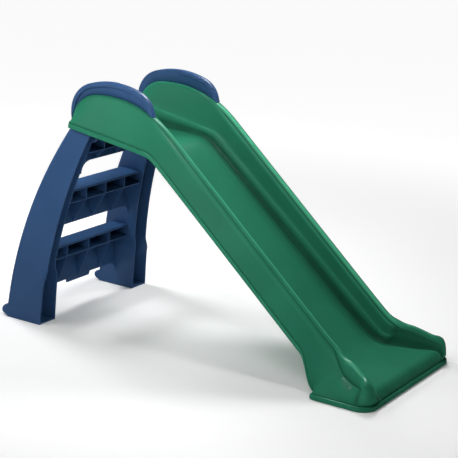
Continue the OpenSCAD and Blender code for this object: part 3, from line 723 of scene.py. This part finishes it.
def flangeRings():  # the bead round the foot, from the middle of its front edge to its rear end
    reach, r, endR = slide["footHalfWidth"], slide["cornerRadius"], slide["flangeEndRadius"]
    endU = runLength + slide["waist"] + endR
    plan = [(frontU, y, 1, 0) for y in spread(0, reach - r, 6)[:-1]]
    for c, s in map(onCircle, spread(0, 90, 15)):
        plan.append((frontU - r + r * c, reach - r + r * s, c, s))
    plan += [(u, reach, 0, 1) for u in spread(frontU - r, endU, 6)[1:-1]]
    for c, s in map(onCircle, spread(90, 180, 10)):
        plan.append((endU + endR * c, reach - endR + endR * s, c, s))
    plan.append((endU - endR, reach - slide["flangeTurnIn"], -1, 0))
    h = slide["flangeHeight"]
    profile = softCorners([(10, h - 0.5, 0), (0.8, h, 3.6), (0, 6, 2), (0, 0, 5), (10, 0, 0)], 5)
    profile += profile[:1]
    return [[inSlideFrame(u - nu * p.x, y - ny * p.x, p.y) for p in profile] for u, y, nu, ny in plan]


def makeSlide():
    bm = bmesh.new()
    sheetFromRings(bm, *slideRings())
    bmesh.ops.mirror(bm, geom=bm.verts[:] + bm.edges[:] + bm.faces[:], merge_dist=weld, axis="Y")
    mergeDoubles(bm)
    bmesh.ops.recalc_face_normals(bm, faces=bm.faces)
    onRun = Vector((0, 0, 0.32))  # a place on the run's bed, which faces up
    bed = min(bm.faces, key=lambda f: (f.calc_center_median() - onRun).length)
    if bed.normal.z < 0:
        bmesh.ops.reverse_faces(bm, faces=bm.faces)
    giveThickness(bm, slide["sheet"] * mm)
    bead = sheetFromRings(bm, flangeRings())
    around = list({f for v in bead for f in v.link_faces}) + list({e for v in bead for e in v.link_edges})
    bmesh.ops.mirror(bm, geom=bead + around, merge_dist=weld, axis="Y")
    mergeDoubles(bm)
    bmesh.ops.holes_fill(bm, edges=[e for e in bm.edges if e.is_boundary], sides=0)
    bmesh.ops.recalc_face_normals(bm, faces=bm.faces)
    return finishPiece("slideMoulding", bm, greenPlastic, "slide_unit", ["slide"])


makeSlide()
print("slide moulded")


# hand rails: a rounded band over a thinner web, standing on the arches, in mm
handrail = {
    "inY": 133.5, "width": 18.5, "web": 13, "band": 11, "gripStart": -103, "recess": 2.4, "endRound": 4,
    "seat": 0.8, "deepest": 60, "stride": 0.1, "edgeSoft": 6.5, "gripSoft": 2.4, "gripFade": 3,
    # centre u, centre z, radius, first angle, last angle, steps
    "arcs": [(-153, 509.63, 69, 200, 108.61, 22), (-108, 376, 210, 108.61, 70.8, 26),
             (-59, 516.71, 61, 70.8, 9, 22)],
}


def depthToArch(u, z, nu, nz):  # how far in from the band's top the arch begins
    depth = 0.0
    while depth < handrail["deepest"]:
        pu, pz = u - nu * depth, z - nz * depth
        if math.degrees(math.atan2(pz - archZ, pu + slide["archBack"])) < 90 + archTurn:
            over = math.hypot(pu + slide["archBack"], pz - archZ) - archRadius
        else:
            over = math.hypot(pu - rearArcU, pz - rearArcZ) - slide["archRearRadius"]
        if over <= 0:
            break
        depth += handrail["stride"]
    return depth


def roundEnds(rings, reach):  # both ends of a tube close in a soft dome
    caps = []
    for end, beside in ((rings[0], rings[1]), (rings[-1], rings[-2])):
        middle = sum(end, Vector()) / len(end)
        out = (middle - sum(beside, Vector()) / len(beside)).normalized() * reach
        turns = map(onCircle, (30, 55, 75, 90))
        caps.append([[middle + (p - middle) * c + out * s for p in end] for c, s in turns])
    return caps[0][::-1] + rings + caps[1]


def railSection(u, deep):  # once round the rail, as y and depth below the band's top
    inY, outY = handrail["inY"], handrail["inY"] + handrail["width"]
    webY = handrail["inY"] + handrail["web"]
    band = min(handrail["band"], deep - 0.9)
    webTop = min(band + 0.8, deep - 0.3)
    grip = ease((u - handrail["gripStart"]) / handrail["gripFade"])
    inner = inY + handrail["recess"] * grip
    section = softCorners([
        (inner, deep, 0), (inner, webTop, 1.2), (inY, band - 0.4, 1.6),
        (inY, 0, lerp(handrail["gripSoft"], handrail["edgeSoft"], grip)), (outY, 0, handrail["edgeSoft"]),
        (outY, band, 2.2), (webY, webTop, 1.4), (webY, deep, 0),
    ], 4)
    return section + section[:1]


def railRings(side):
    rings = []
    for cu, cz, r, first, last, steps in handrail["arcs"]:
        for nu, nz in map(onCircle, spread(first, last, steps)):
            u, z = cu + r * nu, cz + r * nz
            section = railSection(u, depthToArch(u, z, nu, nz) + handrail["seat"])
            rings.append([inSlideFrame(u - nu * p.y, side * p.x, z - nz * p.y) for p in section])
    return roundEnds(rings, handrail["endRound"] * mm)


def makeHandrail(name, side, node):
    bm = bmesh.new()
    sheetFromRings(bm, railRings(side))
    mergeDoubles(bm)
    bmesh.ops.recalc_face_normals(bm, faces=bm.faces)
    return finishPiece(name, bm, bluePlastic, "slide_unit", [node])


makeHandrail("leftHandrail", 1, "left_handrail")
makeHandrail("rightHandrail", -1, "right_handrail")
print("hand rails moulded")


# ladder: two channel legs open to the front, with boxed treads and ribbed panels between them, in mm
ladder = {
    "frontU": -221, "depth": 105, "frontRadius": 1130, "frontStraight": 60, "rearRadius": 880,
    "rearStraight": 30, "halfWidth": 228.5, "lean": 0.117, "legWidth": 42, "footInner": 167, "legEarGap": 4,
    "narrowStart": 106, "narrowLength": 36, "narrowBack": 8, "wall": 3.5, "corner": 18, "cornerMost": 0.45,
    "rearSoft": 7, "top": 468, "plateShrink": 0.985, "heel": 15, "heelHeight": 14, "heelHalf": 11,
    # the lower outer face bulges in front of a slanting crease, as shares of its depth from the rear
    "faceStart": 0.36, "crease": 0.42, "creaseLeast": 0.02, "frontTurn": 0.9,
    # the bulge, and the heights over which it and the crease change
    "bulge": 9, "bulgeFull": 100, "bulgeFade": 30, "creaseStart": 50, "creaseLength": 56,
    # ears that turn on the pivot pins
    "earY": 136, "earWidth": 16, "earRadius": 16, "earDrop": 54, "earBack": (42, 36),
    "pivotU": -134.749, "pivotZ": 493,
    # treads, with open cells under the top and a ribbed panel below them
    "cell": 30, "cellFloor": 3, "treadLip": 4.5, "treadSoft": (3, 6, 5), "panelFoot": 0.375, "intoLeg": 1.7,
    "floorInset": (2, 0.5), "rib": 3, "ribInset": (1.5, 1, 2), "ribFoot": 3, "gusset": 27, "overlap": 3,
    "tabHalfWidth": 50, "tabDrop": 8, "tabTaper": 3, "edgeRound": 0.9, "edgeAngle": 40,
    # top, front inset, rear inset, drop, ribs
    "treads": [(166, 32, 19, 105, (-90, 0, 90)), (315, 17, 7, 97, (-82, 0, 82)),
               (443.4, 12, 18, 58, (-82, 0, 82))],
}


def legFront(z):
    r = ladder["frontRadius"]
    return ladder["frontU"] + r - math.sqrt(r * r - max(0, z - ladder["frontStraight"]) ** 2)


def legRear(z):
    r = ladder["rearRadius"]
    heel = ladder["heel"] * math.sqrt(max(0, 1 - ((z - ladder["heelHeight"]) / ladder["heelHalf"]) ** 2))
    bend = r - math.sqrt(r * r - max(0, z - ladder["rearStraight"]) ** 2)
    return ladder["frontU"] - ladder["depth"] + bend - heel


def legOut(z):
    return ladder["halfWidth"] - ladder["lean"] * z


def legNarrow(z):  # 0 on the wide foot of a leg, 1 above it
    return ease((z - ladder["narrowStart"]) / ladder["narrowLength"])


def legIn(z):
    above = max(legOut(z) - ladder["legWidth"], ladder["earY"] + ladder["legEarGap"])
    return lerp(ladder["footInner"], above, legNarrow(z))


def legBulge(z, w):  # the lower front of the outer face turns outwards below a slanting crease
    full, fade, turn = ladder["bulgeFull"], ladder["bulgeFade"], ladder["frontTurn"]
    crease = lerp(ladder["crease"], 1.0, clamp01((z - ladder["creaseStart"]) / ladder["creaseLength"]))
    below = clamp01((w - crease) / max(1 - crease, ladder["creaseLeast"])) if z < full + fade else 0
    rise = min(z / full, 1 - ease((z - full) / fade))
    return ladder["bulge"] * rise * max(below, ease((w - turn) / (1 - turn)))


def legRings(side):
    rings = []
    heights = spread(0, 30, 16) + spread(36, 90, 10) + spread(94, 150, 20) + spread(165, ladder["top"], 20)
    for z in heights:
        front, rear, out, inner = legFront(z), legRear(z), legOut(z), legIn(z)
        corner = min(ladder["corner"], ladder["cornerMost"] * (out - inner))
        plan = softCorners([(front - ladder["narrowBack"] * legNarrow(z), inner, 0),
                            (rear, inner, ladder["rearSoft"]), (rear, out, corner), (front, out, 0)], 6)[:-1]
        face = spread(ladder["faceStart"], 1, 13)
        plan += [Vector((lerp(rear, front, w), out + legBulge(z, w))) for w in face]
        rings.append([inSlideFrame(p.x, side * p.y, z) for p in plan])
    return rings


def takeIn(bm, part):  # adds a finished shell to a piece
    mergeDoubles(part)
    bmesh.ops.recalc_face_normals(part, faces=part.faces)
    data = bpy.data.meshes.new("shell")
    part.to_mesh(data)
    part.free()
    bm.from_mesh(data)
    bpy.data.meshes.remove(data)


def addSheet(bm, rings, thickness, facing):  # facing points from the sheet to its outer side
    part = bmesh.new()
    sheetFromRings(part, rings)
    bmesh.ops.recalc_face_normals(part, faces=part.faces)
    far = max(part.faces, key=lambda f: f.calc_center_median().dot(facing))
    if far.normal.dot(facing) < 0:
        bmesh.ops.reverse_faces(part, faces=part.faces)
    giveThickness(part, thickness)
    takeIn(bm, part)


def addSlab(bm, outline, along):  # a flat outline pushed out to a plate
    part = bmesh.new()
    face = part.faces.new([part.verts.new(p) for p in outline])
    made = bmesh.ops.extrude_face_region(part, geom=[face], use_keep_orig=True)["geom"]
    bmesh.ops.translate(part, vec=along, verts=[v for v in made if isinstance(v, bmesh.types.BMVert)])
    takeIn(bm, part)


def addEar(bm, side):  # the lug that turns on the pivot pin
    r, top, low = ladder["earRadius"], ladder["top"], ladder["pivotZ"] - ladder["earDrop"]
    backTop, backLow = ladder["earBack"]
    ear = [(ladder["pivotU"] + r * c, ladder["pivotZ"] + r * s) for c, s in map(onCircle, spread(0, 180, 17))]
    ear += [(legFront(top) - backTop, top), (legFront(low) - backLow, low), (legFront(low), low)]
    addSlab(bm, [inSlideFrame(u, side * ladder["earY"], z) for u, z in ear],
            Vector((0, side * ladder["earWidth"] * mm, 0)))


def addLeg(bm, side):
    rings = legRings(side)
    wall = ladder["wall"] * mm
    addSheet(bm, rings, wall, Vector((0, side, 0)))
    for ring, lift in ((rings[0], wall), (rings[-1], -wall)):  # plates close the leg's two ends
        middle = sum(ring, Vector()) / len(ring)
        plate = [middle + (p - middle) * ladder["plateShrink"] for p in ring]
        addSlab(bm, plate, Vector((0, 0, lift)))
    addEar(bm, side)


def addGusset(bm, side, lowU, lowZ):  # a rounded corner between the panel and a leg
    r, wall, topZ = ladder["gusset"], ladder["wall"], lowZ + ladder["overlap"]
    legY = legIn(lowZ - r) + ladder["intoLeg"]
    startY = legY - r - wall
    corner = [(legY, topZ), (startY, topZ)]
    corner += [(startY + r * s, lowZ - r + r * c) for c, s in map(onCircle, spread(0, 90, 13))]
    corner += [(legY, lowZ - r)]
    addSlab(bm, [inSlideFrame(lowU, side * y, z) for y, z in corner], Vector((wall * mm, 0, 0)))


def addTread(bm, top, frontInset, rearInset, drop, ribs):
    front, rear = legFront(top) - frontInset, legRear(top) + rearInset
    cellZ, lowZ, into = top - ladder["cell"], top - drop, ladder["intoLeg"]
    underZ = cellZ - ladder["cellFloor"]
    lowU = lerp(rear, front, ladder["panelFoot"])
    frontSoft, rearSoft, lowSoft = ladder["treadSoft"]
    profile = softCorners([(front, top - ladder["treadLip"], 0), (front, top, frontSoft),
                           (rear, top, rearSoft), (rear, underZ, lowSoft), (lowU, lowZ, 0)], 6)
    rings = [[inSlideFrame(p.x, y * (legIn(p.y) + into), p.y) for p in profile] for y in spread(-1, 1, 9)]
    addSheet(bm, rings, ladder["wall"] * mm, Vector((0, 0, 1)))
    rearIn, frontIn = ladder["floorInset"]
    wide = legIn(cellZ) + into
    floor = [(rear + rearIn, cellZ), (front - frontIn, cellZ),
             (front - frontIn, underZ), (rear + rearIn, underZ)]
    addSlab(bm, [inSlideFrame(u, -wide, z) for u, z in floor], Vector((0, 2 * wide * mm, 0)))
    rearIn, frontIn, edgeIn = ladder["ribInset"]
    ribU = lowU + rearIn
    rib = [(rear + rearIn, top - edgeIn), (front - frontIn, top - edgeIn), (front - frontIn, underZ),
           (ribU + ladder["ribFoot"], lowZ + edgeIn), (ribU, lowZ + edgeIn), (rear + rearIn, underZ)]
    across = Vector((0, ladder["rib"] * mm, 0))
    for y in ribs:
        addSlab(bm, [inSlideFrame(u, y - ladder["rib"] / 2, z) for u, z in rib], across)
    for side in (-1, 1):
        addGusset(bm, side, lowU, lowZ)
    return lowU, lowZ


def makeLadder():
    bm = bmesh.new()
    for side in (-1, 1):
        addLeg(bm, side)
    lows = [addTread(bm, *tread) for tread in ladder["treads"]]
    lowU, lowZ = lows[0]
    half, topZ, tabZ = ladder["tabHalfWidth"], lowZ + ladder["overlap"], lowZ - ladder["tabDrop"]
    low = half - ladder["tabTaper"]
    tab = [(-half, topZ), (half, topZ), (low, tabZ), (-low, tabZ)]
    addSlab(bm, [inSlideFrame(lowU, y, z) for y, z in tab], Vector((ladder["wall"] * mm, 0, 0)))
    for v in bm.verts:  # nothing goes below the floor
        v.co.z = max(v.co.z, 0)
    piece = finishPiece("ladderMoulding", bm, bluePlastic, "ladder_unit", ["ladder"])
    bevel = piece.modifiers.new("edgeRound", "BEVEL")
    bevel.width = ladder["edgeRound"] * mm
    bevel.segments = 2
    bevel.limit_method = "ANGLE"
    bevel.angle_limit = math.radians(ladder["edgeAngle"])
    bevel.harden_normals = True
    return piece


makeLadder()
print("ladder moulded")

for nodeName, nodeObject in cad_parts.items():
    finish = pinPlastic if "pin" in nodeName else greenPlastic if nodeName == "slide" else bluePlastic
    nodeObject.data.materials.clear()
    nodeObject.data.materials.append(finish)
print("solids coloured")
